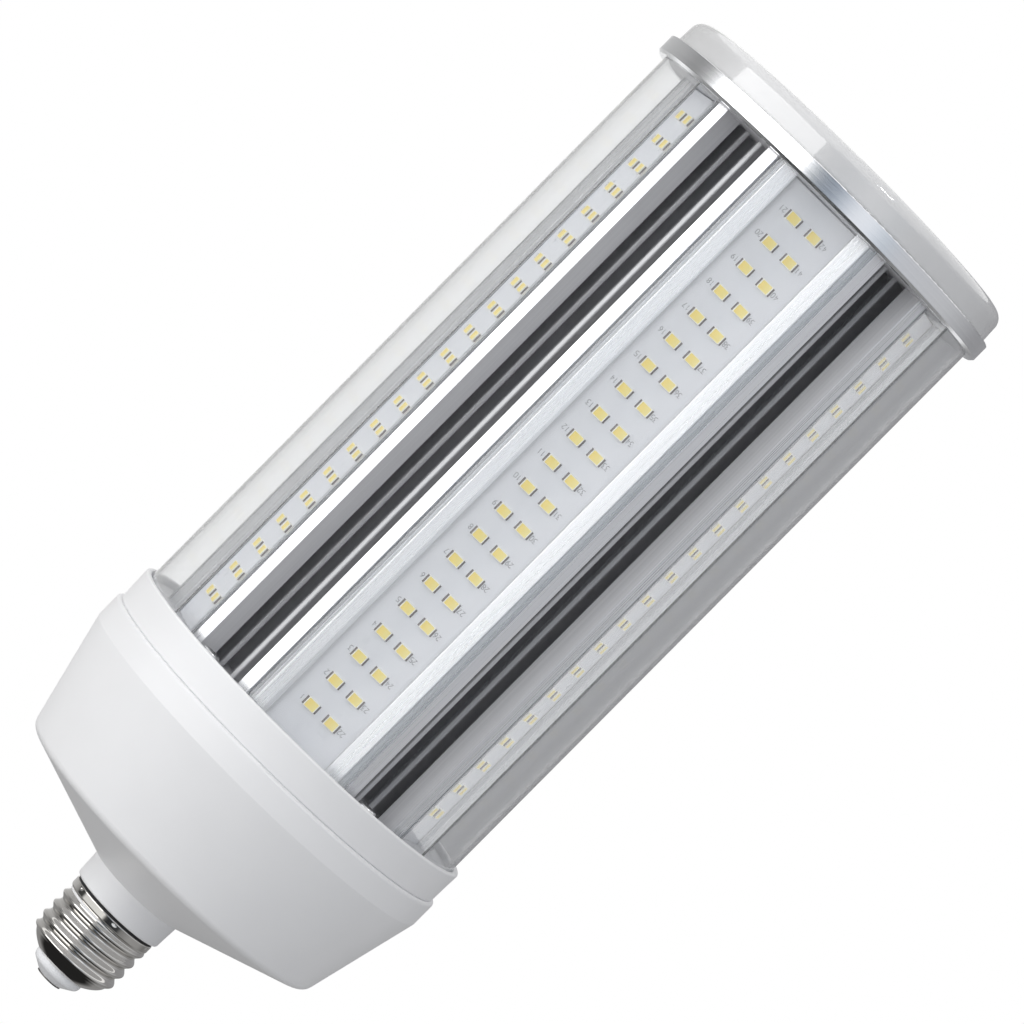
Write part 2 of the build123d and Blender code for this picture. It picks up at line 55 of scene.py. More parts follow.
# The range that most of a noise texture's values keep to
NOISE_LOW = 0.3
NOISE_HIGH = 0.7

# Sizes of the packages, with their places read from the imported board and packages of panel 1
BOARD_FACE = -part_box("led_board_1")[0].y
led_low, led_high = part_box("led_packages_1")
LED_LONG = 3.5 * MM
LED_SHORT = 2.8 * MM
LED_TALL = 0.7 * MM
TERMINAL_REACH = 0.4 * MM
LED_COLUMN = led_high.x - TERMINAL_REACH - LED_LONG / 2
LED_FIRST = led_low.z + LED_SHORT / 2
LED_LAST = led_high.z - LED_SHORT / 2

# The extrusion's gaps: where its lips begin, where painted shade darkens the gaps, and where painted light
# makes them paler again further inside
LIP_RADIUS = 41.5 * MM
LIP_BLEND = 1.0 * MM
LIP_FACING = (0.55, 0.78)
GAP_SHADE_RADIUS = 39.0 * MM
DEEP_PAINTED_LIGHT_RADIUS = 31.0 * MM

# The rolled screw shell, a right-hand E27 thread, its crimps, and a nearly black ring above it that paints the
# shadow between shell and neck
SHELL_MOUTH = 4.4 * MM
SHELL_TOP = 24.2 * MM
MOUTH_RADIUS = 7.7 * MM
MOUTH_BORE = 7.6 * MM
ROOT_RADIUS = 12.05 * MM
THREAD_DEPTH = 1.1 * MM
THREAD_PITCH = 3.629 * MM
THREAD_LEVEL = 8.62 * MM
THREAD_TURN = math.radians(222.0)
THREAD_FADE_LOW = (7.4 * MM, 9.2 * MM)
THREAD_FADE_HIGH = (21.0 * MM, 22.3 * MM)
SKIRT_RADIUS = 13.0 * MM
SKIRT_EDGE = 0.25 * MM
TAPER_TOP = 8.9 * MM
TAPER_POWER = 1.85
SHELL_WALL = 0.45 * MM
SHELL_COLUMNS = 240
SHELL_ROWS_OUTSIDE = 170
SHELL_ROWS_INSIDE = 60
CRIMPS = 6
CRIMP_TURN = math.radians(-82.5)
CRIMP_LEVEL = 23.65 * MM
CRIMP_WIDTH = 0.34 * MM
CRIMP_DEPTH = 0.24 * MM
# The nearly black ring of painted shadow under the neck: its levels, radii and columns
SHADOW_RING_LEVELS = (24.0 * MM, 24.94 * MM)
SHADOW_RING_RADII = (12.45 * MM, 12.7 * MM)
SHADOW_RING_COLUMNS = 120


def node(tree, kind, inputs=None, **settings):
    """A new shader node, with its properties and its input sockets set."""
    made = tree.nodes.new(kind)
    for key, value in settings.items():
        setattr(made, key, value)
    for key, value in (inputs or {}).items():
        made.inputs[key].default_value = value
    return made


def finish_of(name, colour, roughness, metallic=0.0, **sockets):
    """A material with one Principled shader; returns it with its tree and shader."""
    made = bpy.data.materials.new(name)
    made.use_nodes = True
    tree = made.node_tree
    shader = tree.nodes["Principled BSDF"]
    shader.inputs["Base Color"].default_value = (*colour, 1.0)
    shader.inputs["Roughness"].default_value = roughness
    shader.inputs["Metallic"].default_value = metallic
    for key, value in sockets.items():
        shader.inputs[key.replace("_", " ")].default_value = value
    return made, tree, shader


def place_vector(tree, stretch):
    """Object coordinates in metres, multiplied axis by axis to stretch a pattern."""
    where = node(tree, "ShaderNodeTexCoord")
    mapping = node(tree, "ShaderNodeMapping", {"Scale": stretch})
    tree.links.new(where.outputs["Object"], mapping.inputs["Vector"])
    return mapping.outputs["Vector"]


def ring_vector(tree, stretch):
    """(radius, 0, height) in metres, stretched, so that a pattern runs round the axis."""
    where = node(tree, "ShaderNodeTexCoord")
    split = node(tree, "ShaderNodeSeparateXYZ")
    flat = node(tree, "ShaderNodeCombineXYZ")
    length = node(tree, "ShaderNodeVectorMath", operation="LENGTH")
    joined = node(tree, "ShaderNodeCombineXYZ")
    mapping = node(tree, "ShaderNodeMapping", {"Scale": stretch})
    link = tree.links.new
    link(where.outputs["Object"], split.inputs[0])
    link(split.outputs["X"], flat.inputs["X"])
    link(split.outputs["Y"], flat.inputs["Y"])
    link(flat.outputs[0], length.inputs[0])
    link(length.outputs["Value"], joined.inputs["X"])
    link(split.outputs["Z"], joined.inputs["Z"])
    link(joined.outputs[0], mapping.inputs["Vector"])
    return mapping.outputs["Vector"]


def noise(tree, vector, detail=3.0, roughness=0.6):
    """Noise from 0 to 1 at a stretched place."""
    settings = {"Scale": 1.0, "Detail": detail, "Roughness": roughness}
    made = node(tree, "ShaderNodeTexNoise", settings)
    tree.links.new(vector, made.inputs["Vector"])
    return made.outputs["Fac"]


def spread(tree, value, low, high):
    """A value within the noise's usual range, spread over low to high."""
    made = node(tree, "ShaderNodeMapRange", {"From Min": NOISE_LOW, "From Max": NOISE_HIGH,
                                             "To Min": low, "To Max": high})
    tree.links.new(value, made.inputs["Value"])
    return made.outputs["Result"]


def tinted(tree, value, dark, light):
    """A colour between two tones, driven by a value within the noise's usual range."""
    ramp = node(tree, "ShaderNodeValToRGB")
    ramp.color_ramp.elements[0].position = NOISE_LOW
    ramp.color_ramp.elements[0].color = (*dark, 1.0)
    ramp.color_ramp.elements[1].position = NOISE_HIGH
    ramp.color_ramp.elements[1].color = (*light, 1.0)
    tree.links.new(value, ramp.inputs["Fac"])
    return ramp.outputs["Color"]


def bumped(tree, shader, value, height):
    """Small relief of a given height in metres on the shader's normal."""
    bump = node(tree, "ShaderNodeBump", {"Strength": 1.0, "Distance": height})
    tree.links.new(value, bump.inputs["Height"])
    tree.links.new(bump.outputs["Normal"], shader.inputs["Normal"])


def moulded(name, dark, light, rough_low, rough_high):
    """Moulded plastic: faint clouds in its tone and a fine spark-eroded grain."""
    made, tree, shader = finish_of(name, light, rough_low)
    cloud = noise(tree, place_vector(tree, (38.0,) * 3), detail=4.0)
    tree.links.new(tinted(tree, cloud, dark, light), shader.inputs["Base Color"])
    tree.links.new(spread(tree, cloud, rough_low, rough_high), shader.inputs["Roughness"])
    fine = noise(tree, place_vector(tree, (2600.0,) * 3), detail=2.0)
    bumped(tree, shader, fine, 0.00001)
    return made


def drawn_metal(name, dark, light, rough_low, rough_high, stretch, relief, turned=False):
    """Metal with fine tool lines, along the lamp or round its axis."""
    made, tree, shader = finish_of(name, light, rough_low, 1.0)
    vector = (ring_vector if turned else place_vector)(tree, stretch)
    lines = noise(tree, vector, detail=5.0, roughness=0.7)
    tree.links.new(tinted(tree, lines, dark, light), shader.inputs["Base Color"])
    tree.links.new(spread(tree, lines, rough_low, rough_high), shader.inputs["Roughness"])
    bumped(tree, shader, lines, relief)
    return made


def lip_and_gap_shade_shares(tree):
    """Two shares, from 0 to 1: how far a place is on the outer lips, and how far in it is in the gaps, which
    sets painted shade in the gaps and, further in, painted light.

    The distance out is the length of (x, y), and facing is the normal's part along that direction.
    A lip is far enough out from the axis and faces outwards."""
    link = tree.links.new
    where = node(tree, "ShaderNodeTexCoord")
    flat = node(tree, "ShaderNodeVectorMath", {1: (1.0, 1.0, 0.0)}, operation="MULTIPLY")
    reach = node(tree, "ShaderNodeVectorMath", operation="LENGTH")
    way = node(tree, "ShaderNodeVectorMath", operation="NORMALIZE")
    facing = node(tree, "ShaderNodeVectorMath", operation="DOT_PRODUCT")
    far = node(tree, "ShaderNodeMapRange", {"From Min": LIP_RADIUS - LIP_BLEND, "From Max": LIP_RADIUS})
    outward = node(tree, "ShaderNodeMapRange", {"From Min": LIP_FACING[0], "From Max": LIP_FACING[1]})
    share = node(tree, "ShaderNodeMath", operation="MULTIPLY")
    link(where.outputs["Object"], flat.inputs[0])
    link(flat.outputs["Vector"], reach.inputs[0])
    link(flat.outputs["Vector"], way.inputs[0])
    link(way.outputs["Vector"], facing.inputs[0])
    link(where.outputs["Normal"], facing.inputs[1])
    link(reach.outputs["Value"], far.inputs["Value"])
    link(facing.outputs["Value"], outward.inputs["Value"])
    link(far.outputs["Result"], share.inputs[0])
    link(outward.outputs["Result"], share.inputs[1])
    deep_painted_light = node(tree, "ShaderNodeMapRange", {"From Min": GAP_SHADE_RADIUS, "From Max": DEEP_PAINTED_LIGHT_RADIUS})
    link(reach.outputs["Value"], deep_painted_light.inputs["Value"])
    return share.outputs[0], deep_painted_light.outputs["Result"]


def extrusion():
    """Extruded aluminium: die lines along the lamp, bright on the lips, darker and less metallic in the gaps
    as painted shade, and paler again further inside as painted light.
    """
    made, tree, shader = finish_of("extruded_aluminium", (0.80, 0.805, 0.82), 0.3, 1.0)
    link = tree.links.new
    lines = noise(tree, place_vector(tree, (2400.0, 2400.0, 6.0)), detail=5.0, roughness=0.7)
    share, deep_painted_light = lip_and_gap_shade_shares(tree)
    colour = node(tree, "ShaderNodeMix", data_type="RGBA")
    rough = node(tree, "ShaderNodeMix", data_type="FLOAT")
    # Painted shade in the gaps: a darker tone and metallic down to 0.2; painted light grades the tone paler
    # again further in
    gap_shade_metallic = node(tree, "ShaderNodeMapRange", {"To Min": 0.2, "To Max": 1.0})
    painted_gap_tone = node(tree, "ShaderNodeMix", data_type="RGBA")
    link(share, colour.inputs[0])
    link(deep_painted_light, painted_gap_tone.inputs[0])
    link(tinted(tree, lines, (0.50, 0.50, 0.515), (0.60, 0.60, 0.615)), painted_gap_tone.inputs[6])
    link(tinted(tree, lines, (0.80, 0.80, 0.815), (0.88, 0.88, 0.895)), painted_gap_tone.inputs[7])
    link(painted_gap_tone.outputs[2], colour.inputs[6])
    link(tinted(tree, lines, (0.76, 0.765, 0.785), (0.86, 0.865, 0.88)), colour.inputs[7])
    link(share, rough.inputs[0])
    link(spread(tree, lines, 0.40, 0.50), rough.inputs[2])
    link(spread(tree, lines, 0.24, 0.34), rough.inputs[3])
    link(colour.outputs[2], shader.inputs["Base Color"])
    link(rough.outputs[0], shader.inputs["Roughness"])
    link(share, gap_shade_metallic.inputs["Value"])
    link(gap_shade_metallic.outputs["Result"], shader.inputs["Metallic"])
    bumped(tree, shader, lines, 0.000004)
    return made


def opal(name):
    """Opal plastic, polished: light spreads inside it, and a clear skin mirrors the lamps."""
    made, tree, shader = finish_of(name, (0.66, 0.66, 0.665), 0.08, IOR=1.6,
                                   Subsurface_Weight=1.0, Subsurface_Scale=0.002,
                                   Coat_Weight=1.0, Coat_Roughness=0.05, Coat_IOR=1.6)
    shader.inputs["Subsurface Radius"].default_value = (1.0, 1.0, 1.0)
    cloud = noise(tree, place_vector(tree, (38.0,) * 3), detail=4.0)
    tone = tinted(tree, cloud, (0.65, 0.65, 0.655), (0.68, 0.68, 0.685))
    tree.links.new(tone, shader.inputs["Base Color"])
    tree.links.new(spread(tree, cloud, 0.06, 0.11), shader.inputs["Roughness"])
    fine = noise(tree, place_vector(tree, (900.0,) * 3), detail=2.0)
    bumped(tree, shader, fine, 0.000002)
    return made


def plain_part(name, dark, light, roughness, scale=300.0, metallic=0.0):
    """A small part's finish: two close tones mottled together."""
    made, tree, shader = finish_of(name, light, roughness, metallic)
    mottle = noise(tree, place_vector(tree, (scale,) * 3))
    tree.links.new(tinted(tree, mottle, dark, light), shader.inputs["Base Color"])
    return made


def clear_plastic(name):
    """Clear acrylic that lets the light of lamps and pale surfaces straight through."""
    made, tree, shader = finish_of(name, (0.985, 0.99, 0.992), 0.03,
                                   Transmission_Weight=0.94, IOR=1.49)
    lines = noise(tree, place_vector(tree, (360.0, 360.0, 1.6)), detail=4.0)
    bumped(tree, shader, lines, 0.00001)
    link = tree.links.new
    rays = node(tree, "ShaderNodeLightPath")
    open_way = node(tree, "ShaderNodeBsdfTransparent", {"Color": (0.97, 0.975, 0.98, 1.0)})
    for_lamps = node(tree, "ShaderNodeMixShader")
    for_bounces = node(tree, "ShaderNodeMixShader")
    out = tree.nodes["Material Output"]
    link(rays.outputs["Is Shadow Ray"], for_lamps.inputs[0])
    link(shader.outputs[0], for_lamps.inputs[1])
    link(open_way.outputs[0], for_lamps.inputs[2])
    link(rays.outputs["Is Diffuse Ray"], for_bounces.inputs[0])
    link(for_lamps.outputs[0], for_bounces.inputs[1])
    link(open_way.outputs[0], for_bounces.inputs[2])
    link(for_bounces.outputs[0], out.inputs["Surface"])
    return made


def solder_mask():
    """White solder mask: a silk gloss with faint clouds and a fine orange peel."""
    made, tree, shader = finish_of("board_mask", (0.76, 0.765, 0.79), 0.3)
    cloud = noise(tree, place_vector(tree, (160.0,) * 3), detail=4.0)
    tone = tinted(tree, cloud, (0.75, 0.755, 0.78), (0.775, 0.78, 0.805))
    tree.links.new(tone, shader.inputs["Base Color"])
    tree.links.new(spread(tree, cloud, 0.27, 0.34), shader.inputs["Roughness"])
    fine = noise(tree, place_vector(tree, (1800.0,) * 3), detail=2.0)
    bumped(tree, shader, fine, 0.000006)
    return made


def phosphor():
    """Amber phosphor set in silicone, deeper in tone towards the package's left end."""
    made, tree, shader = finish_of("led_phosphor", (0.94, 0.76, 0.20), 0.32)
    where = node(tree, "ShaderNodeUVMap", uv_map="package")
    split = node(tree, "ShaderNodeSeparateXYZ")
    tree.links.new(where.outputs[0], split.inputs[0])
    tone = tinted(tree, split.outputs["X"], (0.95, 0.80, 0.26), (0.95, 0.74, 0.17))
    tree.links.new(tone, shader.inputs["Base Color"])
    grain = noise(tree, place_vector(tree, (5200.0,) * 3), detail=2.0)
    bumped(tree, shader, grain, 0.00001)
    return made


FINISHES = {
    "nickel_cap": drawn_metal("nickel_plate", (0.72, 0.70, 0.67), (0.80, 0.785, 0.76), 0.04, 0.09,
                              (300.0, 300.0, 2600.0), 0.000002, turned=True),
    "contact_metal": plain_part("contact_solder", (0.16, 0.155, 0.15), (0.26, 0.25, 0.24), 0.4, 900.0, 1.0),
    "cap_insulation": moulded("cap_insulator_white", (0.86, 0.87, 0.90), (0.92, 0.925, 0.94), 0.12, 0.2),
    "white_housing": moulded("housing_white", (0.82, 0.82, 0.83), (0.84, 0.84, 0.85), 0.36, 0.46),
    "aluminium_body": extrusion(),
    "polished_ring": drawn_metal("ring_aluminium", (0.80, 0.81, 0.83), (0.92, 0.925, 0.935), 0.18, 0.28,
                                 (2600.0, 1.0, 2600.0), 0.000003, turned=True),
    "white_cap": opal("cap_white"),
    "board_white": solder_mask(),
    "clear_cover": clear_plastic("clear_acrylic"),
    "screw_steel": plain_part("zinc_steel", (0.55, 0.55, 0.56), (0.68, 0.68, 0.69), 0.25, 1500.0, 1.0),
    "driver_laminate": plain_part("driver_mask", (0.03, 0.16, 0.07), (0.05, 0.22, 0.10), 0.4),
    "ferrite": plain_part("ferrite_black", (0.04, 0.04, 0.042), (0.07, 0.07, 0.072), 0.6, 1200.0),
    "copper_winding": drawn_metal("enamelled_copper", (0.45, 0.17, 0.07), (0.62, 0.27, 0.12), 0.25, 0.4,
                                  (200.0, 200.0, 2600.0), 0.00002),
    "component_black": plain_part("sleeve_black", (0.02, 0.02, 0.022), (0.035, 0.035, 0.04), 0.3),
    "film_case": plain_part("film_case_red", (0.42, 0.07, 0.04), (0.52, 0.10, 0.06), 0.35),
    "lead_red": plain_part("lead_red", (0.42, 0.02, 0.02), (0.55, 0.04, 0.04), 0.5, 800.0),
    "lead_black": plain_part("lead_black", (0.02, 0.02, 0.02), (0.04, 0.04, 0.04), 0.5, 800.0),
}
package_white = moulded("package_cream", (0.90, 0.87, 0.76), (0.94, 0.91, 0.82), 0.3, 0.4)
package_phosphor = phosphor()
solder_joint = plain_part("solder_joint", (0.10, 0.075, 0.07), (0.17, 0.14, 0.13), 0.45, 2500.0)
# Nearly black: painted shadow for the gap under the neck, used on the ring there
shadow_ring_paint = plain_part("neck_shadow_paint", (0.015, 0.015, 0.016), (0.03, 0.03, 0.032), 0.8, 1500.0)
mark_ink = plain_part("mark_ink", (0.24, 0.24, 0.25), (0.31, 0.31, 0.32), 0.5, 4000.0)
FINISHES["led_phosphor"] = package_phosphor

for row in frame["record"]["subparts"]:
    for place in nodes[row["node"]].material_slots:
        place.material = FINISHES[row["material_slot"]]


def to_panel(points, index):
    """Turns (across, out, up) panel coordinates about the axis to the panel's own place."""
    angle = math.pi + index * 2 * math.pi / PANELS
    u, d, z = np.moveaxis(points, -1, 0)
    x = u * math.cos(angle) - d * math.sin(angle)
    y = u * math.sin(angle) + d * math.cos(angle)
    return np.stack([x, y, z], axis=-1)


def piece(name, points, faces, materials, face_material=None, uv=None):
    """A mesh object at the origin from points and faces.

    Where given, each face has its finish and each point its UV."""
    mesh = bpy.data.meshes.new(name)
    mesh.from_pydata(points.reshape(-1, 3).tolist(), [], faces)
    for material in materials:
        mesh.materials.append(material)
    if face_material is not None:
        mesh.polygons.foreach_set("material_index", np.asarray(face_material, dtype=np.int32))
    if uv is not None:
        corner = np.empty(len(mesh.loops), dtype=np.int32)
        mesh.loops.foreach_get("vertex_index", corner)
        layer = mesh.uv_layers.new(name="package")
        layer.data.foreach_set("uv", uv.reshape(-1, 2)[corner].astype(np.float32).ravel())
    mesh.update()
    made = bpy.data.objects.new(name, mesh)
    bpy.context.scene.collection.objects.link(made)
    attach(made, "root")
    return made


# A package's finishes by face, in the order of the piece's materials
PACKAGE_BODY, PACKAGE_FACE, PACKAGE_SOLDER = 0, 1, 2
FILLET_OVERLAP = 0.02 * MM
FILLET_HALF_WIDTH = 1.25 * MM


def package_template():
    """One package: chamfered rectangular rings stacked outwards, a phosphor face, and two solder fillets.

    Each ring is given by how far it stands in from the package's long and short half sizes, and by its
    height. It has eight corners, two beside each cut corner.
    Each fillet is a hollow-curved wedge beside the terminal, given by (distance out, height)."""
    half_long, half_short = LED_LONG / 2, LED_SHORT / 2
    rings = np.array([
        (0.0, 0.0, 0.0),
        (0.03 * MM, 0.03 * MM, LED_TALL - 0.08 * MM),
        (0.09 * MM, 0.09 * MM, LED_TALL),
        (0.24 * MM, 0.17 * MM, LED_TALL),
        (0.30 * MM, 0.22 * MM, LED_TALL - 0.05 * MM),
    ])
    cut = 0.16 * MM
    a = half_long - rings[:, 0]
    b = half_short - rings[:, 1]
    across = np.stack([a, a - cut, cut - a, -a, -a, cut - a, a - cut, a], axis=1)
    along = np.stack([b - cut, b, b, b - cut, cut - b, -b, -b, cut - b], axis=1)
    corners = across.shape[1]
    out = np.repeat(rings[:, 2:], corners, axis=1)
    body = np.stack([across, out, along], axis=-1).reshape(-1, 3)
    step = np.arange(corners)
    faces = []
    for ring in range(len(rings) - 1):
        low, high = ring * corners + step, (ring + 1) * corners + step
        faces += np.stack([low, high, np.roll(high, -1), np.roll(low, -1)], axis=1).tolist()
    kinds = [PACKAGE_BODY] * len(faces)
    faces.append(((len(rings) - 1) * corners + step[::-1]).tolist())
    kinds.append(PACKAGE_FACE)
    wedge = np.array([(0.0, 0.34), (0.14, 0.17), (0.30, 0.07), (0.50, 0.0)]) * MM
    count = len(wedge)
    points = [body]
    for side in (-1, 1):
        ends = []
        for end in (-1, 1):
            u = side * (half_long - FILLET_OVERLAP + wedge[:, 0])
            ends.append(np.stack([u, wedge[:, 1], np.full(count, end * FILLET_HALF_WIDTH)], axis=1))
        start = sum(len(p) for p in points)
        points.append(np.concatenate(ends))
        for k in range(start, start + count - 1):
            quad = [k, k + 1, k + count + 1, k + count]
            faces.append(quad if side == 1 else quad[::-1])
            kinds.append(PACKAGE_SOLDER)
    return np.concatenate(points), faces, kinds


def package_places():
    """(across, out, up) of each package's foot: two columns by all rows."""
    up = np.linspace(LED_FIRST, LED_LAST, LED_ROWS)
    grid_u, grid_z = np.meshgrid([LED_COLUMN, -LED_COLUMN], up, indexing="ij")
    return np.stack([grid_u, np.full_like(grid_u, BOARD_FACE), grid_z], axis=-1).reshape(-1, 3)


def light_packages(index):
    """All packages of one panel: the template repeated at each place."""
    points, faces, kinds = package_template()
    places = package_places()
    many = places[:, None, :] + points[None, :, :]
    starts = range(0, len(places) * len(points), len(points))
    all_faces = [[corner + start for corner in face] for start in starts for face in faces]
    uv = np.stack([points[:, 0] / LED_LONG + 0.5, points[:, 2] / LED_SHORT + 0.5], axis=1)
    made = piece(f"light_packages_{index + 1}", to_panel(many, index), all_faces,
                 [package_white, package_phosphor, solder_joint], kinds * len(places),
                 np.tile(uv, (len(places), 1)))
    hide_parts(f"led_packages_{index + 1}")


# Each digit as one line of points, on a grid three units wide and six high
STROKES = {
    "0": [(0, 1), (0, 5), (1, 6), (2, 6), (3, 5), (3, 1), (2, 0), (1, 0), (0, 1)],
    "1": [(0.6, 5), (1.7, 6), (1.7, 0)],
    "2": [(0, 5), (1, 6), (2, 6), (3, 5), (3, 4), (0, 0), (3, 0)],
    "3": [(0, 6), (3, 6), (1.3, 3.6), (2, 3.6), (3, 2.6), (3, 1), (2, 0), (0, 0)],
    "4": [(2.2, 0), (2.2, 6), (0, 2), (3, 2)],
    "5": [(3, 6), (0, 6), (0, 3.4), (2, 3.4), (3, 2.4), (3, 1), (2, 0), (0, 0)],
    "6": [(2.6, 6), (0.6, 3.8), (0, 2), (1, 0), (2, 0), (3, 1), (3, 2.4), (2, 3.4), (0.5, 3.4)],
    "7": [(0, 6), (3, 6), (1, 0)],
    "8": [(1, 3.2), (0, 4.2), (0, 5), (1, 6), (2, 6), (3, 5), (3, 4.2), (2, 3.2),
          (1, 3.2), (0, 2.2), (0, 1), (1, 0), (2, 0), (3, 1), (3, 2.2), (2, 3.2)],
    "9": [(2.5, 2.6), (1, 2.6), (0, 3.6), (0, 5), (1, 6), (2, 6), (3, 4), (2.4, 2.2), (0.4, 0)],
}
STROKE_UNITS = 6
SHORTEST_MEAN = 0.35
SHARPEST_MITRE = 0.6

MARK_HEIGHT = 1.35 * MM
MARK_WIDTH = 0.17 * MM
MARK_LIFT = 0.02 * MM
MARK_GAP_RIGHT = 1.0 * MM
MARK_GAP_LEFT = 0.75 * MM
MARK_ADVANCE = 4.4
MARK_SPACE = 1.4


def ribbon(line, width):
    """A flat band of a given width along a polyline, with mitred corners: left and right points."""
    line = np.asarray(line, dtype=float)
    run = np.diff(line, axis=0)
    run /= np.linalg.norm(run, axis=1)[:, None]
    before = np.vstack([run[:1], run])
    after = np.vstack([run, run[-1:]])
    mean = before + after
    mean /= np.maximum(np.linalg.norm(mean, axis=1), SHORTEST_MEAN)[:, None]
    normal = np.stack([-mean[:, 1], mean[:, 0]], axis=1)
    stretch = 1 / np.maximum((mean * after).sum(axis=1), SHARPEST_MITRE)
    offset = normal * (stretch * width / 2)[:, None]
    return line + offset, line - offset


def board_marks(index):
    """Printed numbers beside the packages, upside down as seen with the cap below, as flat bands."""
    unit = MARK_HEIGHT / STROKE_UNITS
    advance = MARK_ADVANCE * unit
    bands = []
    for count, (u, _, z) in enumerate(package_places()):
        text = str(count + 1)
        span = advance * len(text) - MARK_SPACE * unit
        right = u + LED_LONG / 2 + MARK_GAP_RIGHT
        left = u - LED_LONG / 2 - MARK_GAP_LEFT - span
        start = right if u > 0 else left
        for place, digit in enumerate(text):
            line = np.array(STROKES[digit], dtype=float) * unit
            line[:, 0] += start + place * advance
            line[:, 1] = z + MARK_HEIGHT / 2 - line[:, 1]
            bands.append(ribbon(line, MARK_WIDTH))
    points, faces = [], []
    total = 0
    for left, right in bands:
        n = len(left)
        points.append(np.concatenate([left, right]))
        low = total + np.arange(n - 1)
        faces += np.stack([low, low + 1, low + n + 1, low + n], axis=1).tolist()
        total += 2 * n
    flat = np.concatenate(points)
    out = np.full(len(flat), BOARD_FACE + MARK_LIFT)
    places = to_panel(np.stack([flat[:, 0], out, flat[:, 1]], axis=1), index)
    piece(f"board_marks_{index + 1}", places, faces, [mark_ink])


def full_turn(columns):
    """Angles of a full turn in equal steps, without the last one, which is the first again."""
    return np.linspace(0, 2 * math.pi, columns + 1)[:-1]


def eased(value, low, high):
    """A smooth step from 0 at low to 1 at high."""
    share = np.clip((value - low) / (high - low), 0.0, 1.0)
    return share * share * (3 - 2 * share)


def shell_radius(turn, height):
    """The rolled shell's outer radius by turn and height.

    The thread is a cosine wave from root to crest that climbs one pitch each turn. It fades into the
    plain skirt above and into the taper below. The taper falls short of the root radius by a power of
    the share of its height that is left. The skirt's upper edge is rounded in, and each crimp is a
    bell-shaped hollow."""
    left = np.clip((TAPER_TOP - height) / (TAPER_TOP - SHELL_MOUTH), 0.0, 1.0)
    base = ROOT_RADIUS - (ROOT_RADIUS - MOUTH_RADIUS) * left ** TAPER_POWER
    crest_level = THREAD_LEVEL + THREAD_PITCH * (turn - THREAD_TURN) / (2 * math.pi)
    wave = 0.5 + 0.5 * np.cos(2 * math.pi * (height - crest_level) / THREAD_PITCH)
    threaded = base + THREAD_DEPTH * wave * eased(height, *THREAD_FADE_LOW)
    skirt = eased(height, *THREAD_FADE_HIGH)
    edge = np.clip((height - SHELL_TOP + SKIRT_EDGE) / SKIRT_EDGE, 0.0, 1.0)
    round_in = SKIRT_EDGE * (1 - np.sqrt(1 - edge ** 2))
    step = 2 * math.pi / CRIMPS
    off = (turn - CRIMP_TURN + step / 2) % step - step / 2
    far = (off * SKIRT_RADIUS) ** 2 + (height - CRIMP_LEVEL) ** 2
    hollow = CRIMP_DEPTH * np.exp(-far / CRIMP_WIDTH ** 2)
    return threaded * (1 - skirt) + SKIRT_RADIUS * skirt - round_in - hollow


def turned_ring(name, turn, radius, height, material):
    """A closed ring: (radius, height) rows carried round the axis, with the last row joined to the first."""
    columns, rows = radius.shape
    points = np.stack([np.cos(turn)[:, None] * radius, np.sin(turn)[:, None] * radius,
                       np.broadcast_to(height, radius.shape)], axis=-1)
    column = np.arange(columns)[:, None]
    row = np.arange(rows)[None, :]
    after, above = (column + 1) % columns, (row + 1) % rows
    corners = [column * rows + row, after * rows + row, after * rows + above, column * rows + above]
    made = piece(name, points, np.stack([c.ravel() for c in corners], axis=1).tolist(), [material])
    made.data.shade_smooth()
    return made


def screw_shell():
    """The rolled shell with its wall's thickness, outside rows upwards and inside rows back down."""
    turn = full_turn(SHELL_COLUMNS)
    outside = np.linspace(SHELL_MOUTH, SHELL_TOP, SHELL_ROWS_OUTSIDE)
    inside = np.linspace(SHELL_TOP, SHELL_MOUTH, SHELL_ROWS_INSIDE)
    outer = shell_radius(turn[:, None], outside[None, :])
    inner = np.maximum(shell_radius(turn[:, None], inside[None, :]) - SHELL_WALL, MOUTH_BORE)
    radius = np.concatenate([outer, inner], axis=1)
    height = np.concatenate([outside, inside])
    made = turned_ring("rolled_shell", turn, radius, height, FINISHES["nickel_cap"])
    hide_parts("screw_shell")


def painted_shadow_ring():
    """A nearly black ring between the shell and the neck, painted shadow of the gap there: a band of four
    corners carried round the axis.
    """
    turn = full_turn(SHADOW_RING_COLUMNS)
    low, high = SHADOW_RING_LEVELS
    bore, reach = SHADOW_RING_RADII
    radius = np.repeat(np.array([[reach, reach, bore, bore]]), len(turn), axis=0)
    turned_ring("painted_shadow_ring", turn, radius, np.array([low, high, high, low]), shadow_ring_paint)


for panel in range(PANELS):
    light_packages(panel)
    board_marks(panel)
screw_shell()
painted_shadow_ring()


# The camera, as fitted to the photograph: distance and aim in metres, small turns in radians
CAMERA_DISTANCE = 1.2145
CAMERA_AIM = 0.16731
CAMERA_SIDE = -0.000116
CAMERA_TURN = math.radians(2.658)
CAMERA_TILT = 0.0339
CAMERA_LEAN = -0.0040
FOCAL_PIXELS = 4797.5
IMAGE_PIXELS = 1024
SENSOR = 36.0
CLIP_START = 0.05
CLIP_END = 50.0

# The height that the softboxes face, and the directions that they and the wall are placed by
LAMP_MIDDLE = 0.16
front = np.array([-math.sin(CAMERA_TURN), -math.cos(CAMERA_TURN), 0.0])
side = np.array([math.cos(CAMERA_TURN), -math.sin(CAMERA_TURN), 0.0])
up = np.array([0.0, 0.0, 1.0])


